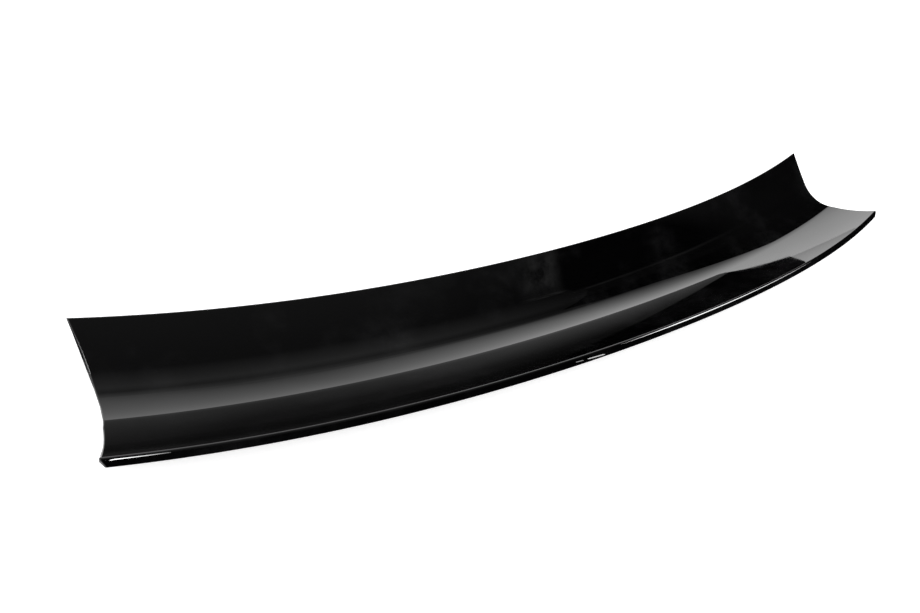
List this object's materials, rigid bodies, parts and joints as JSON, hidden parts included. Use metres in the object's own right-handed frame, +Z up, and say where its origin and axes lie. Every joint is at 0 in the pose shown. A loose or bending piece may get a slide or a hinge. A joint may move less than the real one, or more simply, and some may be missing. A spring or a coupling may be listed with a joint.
{
  "type": "rear spoiler",
  "caption": "Boot-lid spoiler moulded as one bowed sheet: a leading panel to bond on, a wide bend and a raised lip with a folded nose.",
  "frame": {"origin": "middle of the outline seen from above, at the level the bend rests on", "axes": "+X across the car, along the spoiler; +Y towards the front of the car, from the lip to the leading edge; +Z up"},
  "size_m": [1.205, 0.2368, 0.0581],
  "materials": {
    "gloss_black": "high gloss, self-coloured black"
  },
  "bodies": {
    "root": {"spoiler": "gloss_black"}
  },
  "joints": []
}
